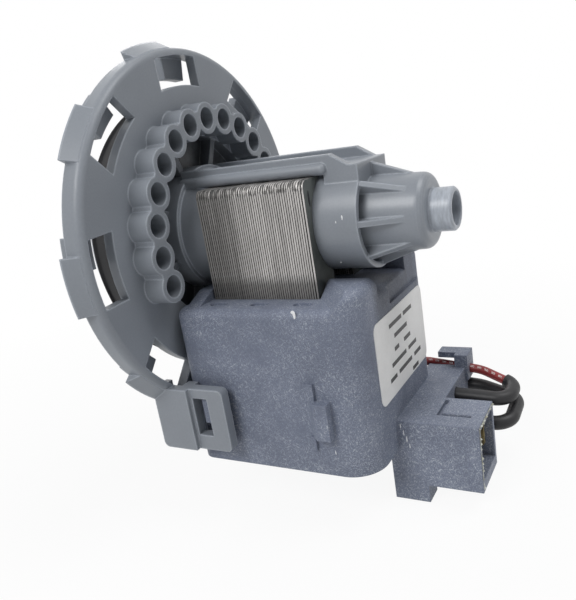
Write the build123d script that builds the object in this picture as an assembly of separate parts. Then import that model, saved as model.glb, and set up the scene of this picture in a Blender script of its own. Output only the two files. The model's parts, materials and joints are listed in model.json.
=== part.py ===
from build123d import *
import math
import os

# Washer drain pump: a synchronous motor on a round bayonet flange, with its impeller.
# Millimetres. X is the motor axis, from the pump side to the rear boss. Z is up.
# The origin is on the motor axis, on the motor side face of the flange disc.

# Shared clearances
fit = 0.03
slip = 0.1
gap = 0.3
overrun = 2.0

# Motor axis places, from the flange towards the rear
stack_x0 = 6.8
sheet_thick = 0.5
sheet_count = 48
stack_x1 = stack_x0 + sheet_thick * sheet_count
collar_x0 = 32.7
collar_x1 = 39.5
end_rim_x = 50.5
boss_tip_x = 54.6

# Radii of the can and the flange, each from the one inside it
can_r = 10.2
can_collar_proud = 3.0
can_collar_r = can_r + can_collar_proud
well_room = 6.2
well_r = can_collar_r + well_room
tube_arc_room = 3.2
tube_arc_r = well_r + tube_arc_room
spigot_room = 3.4
spigot_r = tube_arc_r + spigot_room
window_room = 3.9
window_r0 = spigot_r + window_room
window_height = 6.0
window_r1 = window_r0 + window_height
window_rim = 1.6
flange_r = window_r1 + window_rim
lug_proud = 1.7
lug_r = flange_r + lug_proud
catch_room = 1.7
catch_r0 = window_r0 + catch_room

# Mounting flange
flange_thick = 2.2
rim_round = 1.4
skirt_depth = 4.1
skirt_wall = 1.55
well_wall = 1.5
well_floor_x = -3.2
well_floor_thick = 2.0
spigot_wall = 2.4
spigot_depth = 9.6
window_count = 8
window_turn = 2.0
window_width = 13.0
lug_front_x = -0.9
lug_span = 16.7
lug_row_count = 4
lug_first_turn = 100.0
lug_step_turn = 42.0
catch_thick = 1.9
catch_span = 11.0
catch_lead = -6.0

# Arc of blind tubes on the flange
tube_arc_count = 15
tube_arc_first = 199.3
tube_arc_step = 15.45
tube_arc_top_x = 4.7
tube_outer_r = 3.25
tube_hole_r = 2.2
tube_web = 3.6
tube_hole_floor_x = -1.0
well_rib_count = 8
well_rib_turn = 23.0
well_rib_thick = 1.4
well_rib_top_x = -0.3
well_rib_foot_x = -0.7

# Side latches of the flange
latch_stand = 4.8
latch_wall = 2.2
latch_step = 1.0
latch_top_z = -28.3
latch_bottom_z = -41.6
latch_step_x = 4.3
latch_end_x = 12.3
latch_corner_r = 1.2
latch_slot_x0 = 4.9
latch_slot_x1 = 8.4
latch_slot_z0 = -38.4
latch_slot_z1 = -30.3

# Rotor can with its rear cup and the bridge over the stack
can_wall = 0.9
can_collar_x = 1.5
can_lip = 0.9
can_shoulder_r = can_r + 1.3
can_spigot_r = can_r + 1.8
can_bore_end_x = 34.0
cup_seat_r = 5.2
cup_seat_end_x = 45.0
cup_body_r = 7.5
cup_groove_r = can_r - 1.1
cup_groove_x = 36.3
end_rim_r = 7.05
end_rim_round = 1.7
end_rim_steps = 5
fin_count = 8
fin_thick = 1.1
fin_root_r = can_r - gap
fin_end_x = 47.4
boss_r = 4.0
boss_bore_r = 3.1
boss_bore_depth = 6.6
boss_round = 0.4
bridge_half = 7.0
bridge_wall = 1.5
core_drop = 1.2
core_top_z = can_r - core_drop
bridge_floor_room = 1.5
bridge_floor_z = core_top_z + bridge_floor_room
bridge_rail_height = 2.2
bridge_top_z = bridge_floor_z + bridge_rail_height
bridge_under = 0.2
bridge_x0 = 0.2
bridge_slope_x0 = 34.2
bridge_slope_x1 = 37.8
bead_r = 1.1
bead_z = core_top_z + core_drop
bead_end_x = 32.4

# Stator core
core_web = 2.0
core_half = can_r + core_web
core_leg_width = 7.6
core_leg_inner = core_half - core_leg_width
core_corner_r = 1.4
core_bore_clear = 0.2
yoke_height = 7.6

# Coil housing
box_x0 = 1.0
box_x1 = 41.0
coil_room = 7.3
box_half = core_half + coil_room
box_shelf_z = -13.1
box_bottom_z = -46.0
box_wall = 2.0
box_rear_corner_r = 6.5
box_front_corner_r = 3.0
box_edge_round = 1.8
cheek_top_z = -10.2
cheek_inner = 8.5
cheek_run = 3.8
cheek_skew = 6.0
cheek_round = 2.0
ledge_top_z = -11.0
ledge_x0 = 3.4
ledge_room = 3.9
end_step_depth = 0.6
end_step_y = -3.0
end_step_z = -17.0
mark_length = 4.0
mark_width = 2.0
mark_depth = 0.6
mark_room = 4.1
mark_x_shares = (0.225, 0.465, 0.7)
nub_x0 = 29.0
nub_width = 4.8
nub_top_z = -30.4
nub_bottom_z = -37.8
nub_proud = 2.0
nub_tab_top_z = -27.0
nub_tab_width = 1.9
nub_tab_proud = 0.7
nub_tail_z = -40.6
latch_nub_proud = 2.9
latch_nub_lead = 1.6
latch_nub_lift = 2.4

# Base cover of the coil housing
cover_thick = 1.8
cover_pad_x0 = 14.0
cover_pad_x1 = 31.5
cover_pad_proud = 0.6

# Connector of the coil housing
plug_x0 = 39.0
plug_x1 = 57.0
plug_y0 = -7.0
plug_y1 = 4.6
plug_top_z = -40.0
plug_bottom_z = -53.8
plug_wall = 1.1
socket_depth = 11.5
socket_floor = 2.2
arm_x1 = 47.6
arm_room = 2.0
arm_thick = 6.0
foot_x1 = 46.2
foot_y1 = -2.4
foot_bottom_z = -57.6
slot_x0 = 47.9
slot_x1 = 54.6
slot_y = -2.3
slot_back_y = 3.6
slot_width = 0.9
slot_depth = 0.8
clip_x0 = 41.3
clip_x1 = 48.3
clip_post_x0 = 45.4
clip_room = 0.5
clip_out = 5.5
clip_top_z = -37.0
clip_plate = 1.3
clip_bottom_z = -43.0
blade_thick = 0.8
blade_height = 6.3
blade_out = 10.0
blade_root = 2.5
blade_centre_z = -46.3
blade_ys = (-4.7, 2.2)
blade_tip_round = 1.2

# Label on the end face
label_near_room = 6.8
label_far_room = 5.0
label_z0 = -34.8
label_z1 = -18.3
label_thick = 0.15
label_corner_r = 1.8

# Bobbins and windings on the legs of the core
bobbin_wall = 0.8
bobbin_flange = 1.1
bobbin_top_gap = 0.5
winding_build = 2.5
winding_corner_r = 2.4
flange_rim = 0.25

# Thermal protector beside the windings
protector_thick = 3.0
protector_half = 5.2
protector_height = 4.4
protector_top_z = -20.0

# Leads, chosen along their real route
red_r = 1.0
sleeve_r = 1.5
black_r = 1.5
red_route = (
    (36.0, box_half - 1.7, -39.7),
    (36.0, box_half + 3.4, -39.7),
    (50.8, box_half + 3.0, -41.3),
    (58.4, box_half - 0.1, -43.1),
    (58.4, 12.6, -43.5),
    (45.2, 12.0, -42.6),
)
red_radii = (3.0, 8.0, 3.2, 3.2)
black_route = (
    (33.0, box_half - 1.7, -43.6),
    (33.0, box_half + 3.9, -43.9),
    (50.5, box_half + 3.7, -45.6),
    (59.0, box_half + 0.5, -46.6),
    (59.0, 9.6, -47.4),
    (51.6, 9.2, -47.5),
    (51.6, 2.6, -47.5),
)
black_radii = (3.0, 8.0, 4.2, 3.4, 3.0)
sleeve_edge_count = 4

# Shaft, bearings and seals
shaft_r = 2.0
shaft_tip_x = -15.9
shaft_end_x = 42.0
bush_r = 3.6
cushion_r = 5.15
rear_bush_x0 = 34.4
rear_bush_x1 = 42.6
rear_cushion_x1 = 43.6
front_bush_x0 = -2.4
front_bush_x1 = 3.6
plate_room = 2.8
plate_front_x = -7.2
plate_plug_x = 0.0
plate_boss_r = 7.0
plate_pass_r = 2.8
seal_pocket_r = 4.6
seal_depth = 2.8
oring_x0 = -3.6
oring_width = 1.5
oring_depth = 0.95
washer_r = 4.2
washer_thick = 0.7

# Magnet rotor
magnet_r = can_r - 1.5
magnet_bore_r = 4.0
magnet_x0 = 6.0
magnet_x1 = 31.6
sleeve_cap_r = 7.4
sleeve_cap_thick = 0.9

# Seal ring round the spigot
ring_build = 2.0
ring_lip = 0.5
ring_x0 = -7.8
ring_x1 = -2.5
ring_lip_width = 1.1

# Impeller, its driving dog and its cap
impeller_room = 6.6
impeller_plate = 1.2
impeller_back_x = -7.9
impeller_front_x = -15.4
impeller_tip_x = -12.6
blade_wall = 1.6
blade_count = 6
hub_r = 7.4
hub_wall = 1.4
dog_r = 3.4
dog_lug_r = 5.6
dog_half_angle = 40.0
stop_half_angle = 50.0
stop_inner_r = 3.75
dog_end_x = -14.6
cap_nose = 2.6
cap_lip = 1.0

# Derived sizes
core_bottom_z = box_bottom_z + cover_thick + gap
well_back_x = well_floor_x - well_floor_thick
box_inner_top_z = box_shelf_z - box_wall
latch_inner_y = box_half + gap
latch_plate_y = box_half + latch_stand
ledge_half = box_half - ledge_room
mark_y = box_half - mark_room
arm_y1 = box_half + arm_room
clip_y0 = box_half + clip_room
clip_y1 = box_half + clip_out
label_y0 = label_near_room - box_half
label_y1 = box_half - label_far_room
plate_r = well_r - plate_room
ring_r = spigot_r + ring_build
impeller_r = spigot_r - spigot_wall - impeller_room
wing = window_width / 2
near, far = -1, 1
sides = (near, far)


def axial(x):
    """Work plane square to the motor axis, with Y across and Z up."""
    return Plane(origin=(x, 0, 0), x_dir=(0, 1, 0), z_dir=(1, 0, 0))


def disc(x0, x1, radius):
    return extrude(axial(x0) * Circle(radius), x1 - x0)


def tube(x0, x1, outer, inner):
    return extrude(axial(x0) * (Circle(outer) - Circle(inner)), x1 - x0)


def turned(points):
    """Solid of revolution about the motor axis, from points of place and radius."""
    return revolve(make_face(Polyline(*points, close=True)), Axis.X)


def block(x0, x1, y0, y1, z0, z1):
    centre = ((x0 + x1) / 2, (y0 + y1) / 2, (z0 + z1) / 2)
    return Pos(*centre) * Box(abs(x1 - x0), abs(y1 - y0), abs(z1 - z0))


def turn(shape, angle):
    """Turn about the motor axis, from Y towards Z."""
    return Rot(angle, 0, 0) * shape


def sector(profile, span):
    """Ring piece centred on the Y direction, swept half of its span each way."""
    face = make_face(Polyline(*profile, close=True))
    return turn(revolve(face, Axis.X, revolution_arc=span), -span / 2)


def radial_plate(points, thick, angle):
    """Flat web through the motor axis, from points of place and radius."""
    face = Plane.XZ * make_face(Polyline(*points, close=True))
    return turn(extrude(face, thick / 2, both=True), angle - 90)


def slab(sketch, side, y0, y1):
    """Sketch drawn in X and Z, extruded in Y between two depths on one side."""
    low, high = sorted((side * y0, side * y1))
    plane = Plane(origin=(0, high, 0), x_dir=(1, 0, 0), z_dir=(0, -1, 0))
    return extrude(plane * sketch, high - low)


def flange_body():
    back = -flange_thick
    inner = flange_r - skirt_wall
    spigot_inner = spigot_r - spigot_wall
    well_outer = well_r + well_wall
    points = [
        (well_back_x, can_spigot_r + fit),
        (well_floor_x, can_spigot_r + fit),
        (well_floor_x, well_r),
        (0, well_r),
        (0, flange_r),
        (-skirt_depth, flange_r),
        (-skirt_depth, inner),
        (back, inner),
        (back, spigot_r),
        (-spigot_depth, spigot_r),
        (-spigot_depth, spigot_inner),
        (back, spigot_inner),
        (back, well_outer),
        (well_back_x, well_outer),
    ]
    face = make_face(Polyline(*points, close=True))
    corner = face.vertices().sort_by_distance((0, flange_r, 0))[0]
    face = fillet(corner, rim_round)
    return revolve(face, Axis.X)


def flange_windows():
    back = -flange_thick - gap
    band = tube(back, overrun, window_r1, window_r0)
    cut = block(back, overrun, window_r0 - overrun, window_r1 + overrun, -wing, wing)
    one = band & cut
    step = 360 / window_count
    return [turn(one, window_turn + step * i) for i in range(window_count)]


def flange_lugs():
    inner = flange_r - skirt_wall / 2
    ramp = [
        (lug_front_x, inner),
        (lug_front_x, flange_r),
        (-skirt_depth, lug_r),
        (-skirt_depth, inner),
    ]
    hook = [
        (gap - skirt_depth, catch_r0),
        (gap - skirt_depth, inner),
        (-skirt_depth - catch_thick, inner),
        (-skirt_depth - catch_thick, catch_r0),
    ]
    lugs = []
    for i in range(lug_row_count):
        centre = lug_first_turn + lug_step_turn * i
        lugs.append(turn(sector(ramp, lug_span), centre))
        lugs.append(turn(sector(ramp, lug_span), centre + 180))
    for i in range(window_count):
        centre = window_turn + 360 / window_count * i
        lugs.append(turn(sector(hook, catch_span), centre + catch_lead))
    return lugs


def tube_arc():
    """Scalloped row of tubes with a web between them, and their blind holes."""
    inner = tube_arc_r - tube_web / 2
    outer = tube_arc_r + tube_web / 2
    back = -flange_thick / 2
    span = tube_arc_step * (tube_arc_count - 1)
    web = [(back, inner), (tube_arc_top_x, inner), (tube_arc_top_x, outer), (back, outer)]
    posts = [turn(sector(web, span), tube_arc_first - span / 2)]
    holes = []
    for i in range(tube_arc_count):
        angle = math.radians(tube_arc_first - tube_arc_step * i)
        place = Pos(tube_arc_r * math.cos(angle), tube_arc_r * math.sin(angle))
        posts.append(extrude(axial(back) * place * Circle(tube_outer_r), tube_arc_top_x - back))
        holes.append(extrude(axial(tube_hole_floor_x) * place * Circle(tube_hole_r), tube_arc_top_x + overrun))
    return posts, holes


def well_ribs():
    inner = can_collar_r + fit
    outer = well_r + well_wall / 2
    points = [
        (well_floor_x - fit, inner),
        (well_rib_foot_x, inner),
        (well_rib_top_x, outer),
        (well_floor_x - fit, outer),
    ]
    step = 360 / well_rib_count
    return [radial_plate(points, well_rib_thick, well_rib_turn + step * i) for i in range(well_rib_count)]


def latch(side):
    """Side latch: a stepped plate down the side of the coil housing, with a slot."""
    lower = latch_plate_y - latch_step
    middle_z = (latch_top_z + latch_bottom_z) / 2
    height = latch_top_z - latch_bottom_z
    root_x = (latch_step_x - skirt_depth) / 2
    root = Pos(root_x, middle_z) * Rectangle(latch_step_x + skirt_depth, height)
    root = fillet(root.vertices().sort_by_distance((-skirt_depth, latch_bottom_z, 0))[0], latch_corner_r)
    plate_x0 = latch_step_x - latch_step
    outline = Pos((plate_x0 + latch_end_x) / 2, middle_z) * Rectangle(latch_end_x - plate_x0, height)
    outline = fillet(outline.vertices().group_by(Axis.X)[-1], latch_corner_r)
    slot_place = Pos((latch_slot_x0 + latch_slot_x1) / 2, (latch_slot_z0 + latch_slot_z1) / 2)
    outline -= slot_place * Rectangle(latch_slot_x1 - latch_slot_x0, latch_slot_z1 - latch_slot_z0)
    return slab(root, side, latch_inner_y, latch_plate_y) + slab(outline, side, lower - latch_wall, lower)


def mounting_flange():
    posts, holes = tube_arc()
    latches = [latch(side) for side in sides]
    body = flange_body() + [*flange_lugs(), *posts, *well_ribs(), *latches]
    return body - [*flange_windows(), *holes]


def seal_ring():
    """Rubber ring on the spigot, with two lips."""
    inner = spigot_r + fit
    outer = ring_r - ring_lip
    points = [
        (ring_x0, inner),
        (ring_x1, inner),
        (ring_x1, outer),
        (ring_x1 - ring_lip_width / 2, ring_r),
        (ring_x1 - ring_lip_width, outer),
        (ring_x0 + ring_lip_width, outer),
        (ring_x0 + ring_lip_width / 2, ring_r),
        (ring_x0, outer),
    ]
    return turned(points)


def cup_fins():
    points = [
        (cup_groove_x, cup_seat_r + can_wall),
        (cup_groove_x, fin_root_r),
        (collar_x1, fin_root_r),
        (fin_end_x, end_rim_r),
        (fin_end_x, cup_seat_r + can_wall),
    ]
    step = 360 / fin_count
    return [radial_plate(points, fin_thick, step * i) for i in range(fin_count)]


def bridge():
    """Open channel over the stack, sloping down to a pad on the rear collar."""
    under = core_top_z + bridge_under
    base = bridge_x0
    side = [
        (base, under),
        (base, bridge_top_z),
        (bridge_slope_x0, bridge_top_z),
        (bridge_slope_x1, bridge_floor_z),
        (collar_x1, bridge_floor_z),
        (collar_x1, under),
    ]
    face = Plane.XZ * make_face(Polyline(*side, close=True))
    shape = extrude(face, bridge_half, both=True)
    inner = bridge_half - bridge_wall
    shape -= block(base, collar_x1 + overrun, -inner, inner, bridge_floor_z, bridge_top_z + overrun)
    shape += block(collar_x0, collar_x1, -bridge_half, bridge_half, can_r - can_wall * 4, bridge_floor_z)
    shape += block(base, stack_x0, -bridge_half, bridge_half, can_r - can_wall, under)
    for side in sides:
        bead = extrude(axial(base) * Pos(side * bridge_half, bead_z) * Circle(bead_r), bead_end_x - base)
        end = Pos(bead_end_x, side * bridge_half, bead_z) * Sphere(bead_r)
        shape += bead
        shape += end
    return shape


def rounded_rim():
    """Points of the rounded rear edge of the cup."""
    points = []
    for i in range(end_rim_steps + 1):
        angle = math.pi / 2 * i / end_rim_steps
        x = end_rim_x - end_rim_round * (1 - math.sin(angle))
        points.append((x, end_rim_r - end_rim_round * (1 - math.cos(angle))))
    return points


def rotor_can():
    bore = can_r - can_wall
    outer = [
        (well_back_x, 0),
        (well_back_x, can_spigot_r),
        (well_floor_x, can_spigot_r),
        (well_floor_x, can_collar_r),
        (can_collar_x, can_collar_r),
        (can_collar_x, can_collar_r - can_lip),
        (stack_x0, can_shoulder_r),
        (stack_x0, can_r),
        (collar_x1, can_r),
        (collar_x1, cup_groove_r),
        (cup_groove_x, cup_groove_r),
        (cup_groove_x, cup_body_r),
        *rounded_rim(),
        (end_rim_x, boss_r),
        (boss_tip_x - boss_round, boss_r),
        (boss_tip_x, boss_r - boss_round),
        (boss_tip_x, 0),
    ]
    shape = turned(outer)
    for fin in cup_fins():
        shape += fin
    shape += bridge()
    shape -= disc(well_back_x - overrun, can_bore_end_x, bore)
    shape -= disc(can_bore_end_x - overrun, cup_seat_end_x, cup_seat_r)
    shape -= disc(boss_tip_x - boss_bore_depth, boss_tip_x + overrun, boss_bore_r)
    return shape


def stator_core():
    """U-shaped stack: two straight legs, a lower yoke and the round bite for the can."""
    height = core_top_z - core_bottom_z
    centre_z = (core_top_z + core_bottom_z) / 2
    outline = Pos(0, centre_z) * Rectangle(core_half * 2, height)
    corners = outline.vertices().group_by(Axis.Y)[-1]
    outline = fillet(corners, core_corner_r)
    opening = core_top_z - core_bottom_z - yoke_height
    outline -= Pos(0, core_top_z - opening / 2) * Rectangle(core_leg_inner * 2, opening)
    outline -= Circle(can_r + core_bore_clear)
    return extrude(axial(stack_x0) * outline, stack_x1 - stack_x0)


def leg_section(side, grow, radius):
    """Section round one leg, grown evenly, on the XY plane."""
    centre = ((stack_x0 + stack_x1) / 2, side * (core_half + core_leg_inner) / 2)
    width = stack_x1 - stack_x0 + grow * 2
    depth = core_half - core_leg_inner + grow * 2
    if radius > 0:
        return Pos(*centre) * RectangleRounded(width, depth, radius)
    return Pos(*centre) * Rectangle(width, depth)


def bobbin_levels():
    top = box_inner_top_z - bobbin_top_gap
    bottom = core_bottom_z + yoke_height + gap
    return bottom, top


def prism(sketch, z0, z1):
    return extrude(Pos(0, 0, z0) * sketch, z1 - z0)


def bobbin(side):
    bottom, top = bobbin_levels()
    wall = slip + bobbin_wall
    full = wall + winding_build + flange_rim
    shape = prism(leg_section(side, wall, bobbin_wall), bottom, top)
    shape += prism(leg_section(side, full, winding_corner_r), bottom, bottom + bobbin_flange)
    shape += prism(leg_section(side, full, winding_corner_r), top - bobbin_flange, top)
    return shape - prism(leg_section(side, slip, 0), bottom - overrun, top + overrun)


def winding(side):
    bottom, top = bobbin_levels()
    wall = slip + bobbin_wall + fit
    z0 = bottom + bobbin_flange + fit
    z1 = top - bobbin_flange - fit
    outer = leg_section(side, slip + bobbin_wall + winding_build, winding_corner_r)
    return prism(outer - leg_section(side, wall, bobbin_wall), z0, z1)


def box_plan(inset):
    """Plan of the housing, with large rear corners."""
    plan = Pos((box_x0 + box_x1) / 2, 0) * Rectangle(box_x1 - box_x0 - inset * 2, (box_half - inset) * 2)
    rear = max(box_rear_corner_r - inset, box_front_corner_r)
    plan = fillet(plan.vertices().group_by(Axis.X)[-1], rear)
    return fillet(plan.vertices().group_by(Axis.X)[0], box_front_corner_r)


def box_cheek(side):
    """Raised rear shoulder of the housing, beside the can."""
    front = stack_x1 + gap
    inner, outer = sorted((side * cheek_inner, side * box_half))
    band = block(front, box_x1, inner, outer, box_shelf_z - box_edge_round, cheek_top_z)
    band &= prism(box_plan(0), box_bottom_z, cheek_top_z + overrun)
    top = band.edges().group_by(Axis.Z)[-1].filter_by(Axis.X).sort_by(Axis.Y)
    band = fillet(top[0 if side < 0 else -1], cheek_round)
    along = Vector(cheek_skew, side * (box_half - core_half), 0)
    rise = Vector(cheek_run, 0, cheek_top_z - box_shelf_z)
    slope = Plane(origin=(front, side * core_half, box_shelf_z), z_dir=along.cross(rise) * -side)
    return band - extrude(slope * Rectangle(box_x1 * 2, box_x1 * 2), box_x1)


def box_ledge(side):
    """Sloped ledge in front of the stack."""
    edge = ledge_half + box_edge_round
    points = [
        (side * edge, box_shelf_z - box_edge_round),
        (side * edge, box_shelf_z),
        (side * core_half, ledge_top_z),
        (side * cheek_inner, ledge_top_z),
        (side * cheek_inner, box_shelf_z - box_edge_round),
    ]
    face = axial(ledge_x0) * make_face(Polyline(*points, close=True))
    return extrude(face, stack_x0 - gap - ledge_x0)


def nub(side, x0):
    """Wedge nub on one side, with a tab over it and a tail under it."""
    face = box_half - fit
    proud = box_half + nub_proud
    x1 = x0 + nub_width
    wedge = [(x0, side * face), (x1, side * face), (x1, side * proud), (x0 + nub_proud, side * proud)]
    shape = prism(make_face(Polyline(*wedge, close=True)), nub_bottom_z, nub_top_z)
    tab_y = side * (box_half + nub_tab_proud)
    shape += block(x0, x0 + nub_tab_width, tab_y, side * face, nub_top_z, nub_tab_top_z)
    shape += block(x0, x0 + nub_tab_width / 2, tab_y, side * face, nub_tail_z, nub_bottom_z)
    return shape


def latch_nub(side):
    """Nub that the slot of a side latch drops over."""
    y0, y1 = sorted((side * (box_half - fit), side * (box_half + latch_nub_proud)))
    z0 = latch_slot_z0 + latch_nub_lift
    return block(latch_slot_x0 + latch_nub_lead, latch_slot_x1 - gap, y0, y1, z0, latch_slot_z1 - gap)


def shelf_marks():
    marks = []
    for share in mark_x_shares:
        x = box_x0 + (box_x1 - box_x0) * share
        for side in sides:
            outline = Pos(x, side * mark_y) * SlotOverall(mark_length, mark_width)
            marks.append(prism(outline, box_shelf_z - mark_depth, box_shelf_z + overrun))
    return marks


def connector():
    """Arm, terminal housing, foot and lead clip at the rear of the housing."""
    under = box_bottom_z
    shape = block(box_x1 - box_wall, plug_x1, plug_y0, plug_y1, plug_bottom_z, plug_top_z)
    shape += block(plug_x0, box_x1, plug_y0, plug_y1, plug_bottom_z, under)
    shape += block(box_x1 - box_wall, arm_x1, plug_y0, arm_y1, plug_top_z - arm_thick, plug_top_z)
    shape += block(plug_x0, foot_x1, plug_y0, foot_y1, foot_bottom_z, plug_bottom_z)
    shape += block(clip_post_x0, clip_x1, clip_y0, clip_y1, clip_bottom_z, clip_top_z)
    shape += block(clip_x0, clip_x1, arm_y1, clip_y1, clip_top_z - clip_plate, clip_top_z)
    return shape


def connector_cuts():
    cavity_x = plug_x1 - socket_depth
    z0 = plug_bottom_z + socket_floor
    z1 = plug_top_z - plug_wall
    cuts = [block(cavity_x, plug_x1 + overrun, plug_y0 + plug_wall, plug_y1 - plug_wall, z0, z1)]
    for y in blade_ys:
        half = blade_thick / 2 + fit
        tall = blade_height / 2 + fit
        root = cavity_x - blade_root
        cuts.append(block(root, cavity_x, y - half, y + half, blade_centre_z - tall, blade_centre_z + tall))
    top = plug_top_z - slot_depth
    over = plug_top_z + overrun
    cuts.append(block(slot_x0, slot_x1, slot_y - slot_width, slot_y, top, over))
    cuts.append(block(slot_x0, slot_x0 + slot_width, slot_y, slot_back_y, top, over))
    return cuts


def lead_wire(route, radii):
    return FilletPolyline(*route, radius=list(radii))


def lead_cut(route, radii, radius):
    """Round passage along a whole lead, a slip larger than the lead."""
    return sweep_round(lead_wire(route, radii), radius + slip)


def sweep_round(path, radius):
    start = path @ 0
    plane = Plane(origin=start, z_dir=path % 0)
    return sweep(plane * Circle(radius), path=path)


def coil_housing():
    shape = prism(box_plan(0), box_bottom_z, box_shelf_z)
    shape = fillet(shape.edges().group_by(Axis.Z)[-1], box_edge_round)
    for side in sides:
        shape += box_cheek(side)
        shape += box_ledge(side)
        shape += nub(side, nub_x0)
        shape += latch_nub(side)
    shape += connector()
    shape -= prism(box_plan(box_wall), box_bottom_z, box_inner_top_z)
    for mark in shelf_marks():
        shape -= mark
    for side in sides:
        shape -= prism(leg_section(side, slip, 0), box_inner_top_z - overrun, box_shelf_z + overrun * 2)
    step_x = box_x1 - end_step_depth
    shape -= block(step_x, box_x1 + overrun, end_step_y, box_half + overrun, end_step_z, cheek_top_z + overrun)
    for cut in connector_cuts():
        shape -= cut
    shape -= lead_cut(red_route, red_radii, red_r)
    shape -= lead_cut(red_route[-3:], red_radii[-1:], sleeve_r)
    shape -= lead_cut(black_route, black_radii, black_r)
    return shape


def base_cover():
    shape = prism(box_plan(box_wall + slip), box_bottom_z, box_bottom_z + cover_thick)
    half = box_half - box_wall - box_rear_corner_r / 2
    z0 = box_bottom_z - cover_pad_proud
    return shape + block(cover_pad_x0, cover_pad_x1, -half, half, z0, box_bottom_z)


def terminal_blades():
    """Two flat blades, rooted in the back of the socket."""
    cavity_x = plug_x1 - socket_depth
    x0 = cavity_x - blade_root
    x1 = cavity_x + blade_out
    blades = []
    for y in blade_ys:
        outline = Pos((x0 + x1) / 2, blade_centre_z) * Rectangle(x1 - x0, blade_height)
        outline = chamfer(outline.vertices().group_by(Axis.X)[-1], blade_tip_round)
        plate = extrude(Plane.XZ * outline, blade_thick / 2, both=True)
        blades.append(Pos(0, y, 0) * plate)
    return Compound(children=blades)


def blank_label():
    width = label_y1 - label_y0
    height = label_z1 - label_z0
    centre = Pos((label_y0 + label_y1) / 2, (label_z0 + label_z1) / 2)
    return extrude(axial(box_x1) * centre * RectangleRounded(width, height, label_corner_r), label_thick)


def thermal_protector():
    x0 = stack_x1 + slip + bobbin_wall + winding_build + gap
    z1 = protector_top_z
    body = block(x0, x0 + protector_thick, -protector_half, protector_half, z1 - protector_height, z1)
    return fillet(body.edges().filter_by(Axis.Y), protector_thick / 4)


def red_lead():
    return sweep_round(lead_wire(red_route, red_radii), red_r)


def black_lead():
    return sweep_round(lead_wire(black_route, black_radii), black_r)


def lead_sleeve():
    """Black sleeve over the returning part of the red lead."""
    edges = lead_wire(red_route, red_radii).edges()
    path = Wire(edges[-sleeve_edge_count:])
    return sweep_round(path, sleeve_r) - sweep_round(path, red_r + fit)


def end_cover():
    """Bearing plate that closes the can on the pump side."""
    bore = can_r - can_wall
    shape = disc(plate_front_x, well_back_x, plate_r)
    shape += disc(well_back_x, plate_plug_x, bore - fit)
    shape += disc(plate_plug_x, front_bush_x1, plate_boss_r)
    shape -= disc(front_bush_x0 - gap, front_bush_x1 + overrun, cushion_r + fit)
    shape -= disc(plate_front_x - overrun, front_bush_x1, plate_pass_r)
    shape -= disc(plate_front_x - overrun, plate_front_x + seal_depth, seal_pocket_r)
    shape -= tube(oring_x0, oring_x0 + oring_width, bore + overrun, bore - oring_depth)
    return shape


def cover_o_ring():
    bore = can_r - can_wall
    shape = tube(oring_x0 + fit, oring_x0 + oring_width - fit, bore - fit, bore - oring_depth + fit)
    return shape


def shaft_seal():
    """Lip seal on the pump side of the bearing plate."""
    x0 = plate_front_x
    x1 = plate_front_x + seal_depth
    lip = shaft_r + fit
    points = [
        (x0, seal_pocket_r - fit),
        (x1 - fit, seal_pocket_r - fit),
        (x1 - fit, plate_pass_r),
        (x0 + seal_depth / 2, lip),
        (x0, lip),
        (x0, plate_pass_r + slip),
        (x0 + seal_depth / 4, seal_pocket_r - seal_depth / 4),
        (x0, seal_pocket_r - seal_depth / 4),
    ]
    return turned(points)


def front_bush():
    return tube(front_bush_x0, front_bush_x1, bush_r, shaft_r + fit)


def front_cushion():
    return tube(front_bush_x0, front_bush_x1, cushion_r, bush_r + fit)


def rear_bush():
    return tube(rear_bush_x0, rear_bush_x1, bush_r, shaft_r + fit)


def rear_cushion():
    """Rubber cup that holds the rear bush in the cup seat."""
    shape = disc(rear_bush_x0, rear_cushion_x1, cushion_r)
    return shape - disc(rear_bush_x0 - overrun, rear_bush_x1 + fit, bush_r + fit)


def shaft():
    shape = disc(shaft_tip_x, shaft_end_x, shaft_r)
    return chamfer(shape.edges().filter_by(GeomType.CIRCLE), shaft_r / 6)


def rotor_sleeve():
    """Moulded core that carries the magnet between two end discs."""
    inner = shaft_r + fit
    shape = tube(magnet_x0, magnet_x1, magnet_bore_r - fit, inner)
    shape += tube(magnet_x0 - sleeve_cap_thick, magnet_x0, sleeve_cap_r, inner)
    shape += tube(magnet_x1, magnet_x1 + sleeve_cap_thick, sleeve_cap_r, inner)
    return shape


def magnet():
    return tube(magnet_x0, magnet_x1, magnet_r, magnet_bore_r)


def front_washer():
    x1 = magnet_x0 - sleeve_cap_thick - fit
    return tube(x1 - washer_thick, x1, washer_r, shaft_r + fit)


def rear_washer():
    x0 = magnet_x1 + sleeve_cap_thick + fit
    return tube(x0, x0 + washer_thick, washer_r, shaft_r + fit)


def drive_dog():
    """Hub pressed on the shaft, with one driving lug."""
    x0 = dog_end_x
    x1 = impeller_back_x - impeller_plate - gap
    shape = tube(x0, x1, dog_r, shaft_r + fit)
    lug = [(x0, dog_r - gap), (x0, dog_lug_r), (x1, dog_lug_r), (x1, dog_r - gap)]
    return shape + sector(lug, dog_half_angle * 2)


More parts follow.
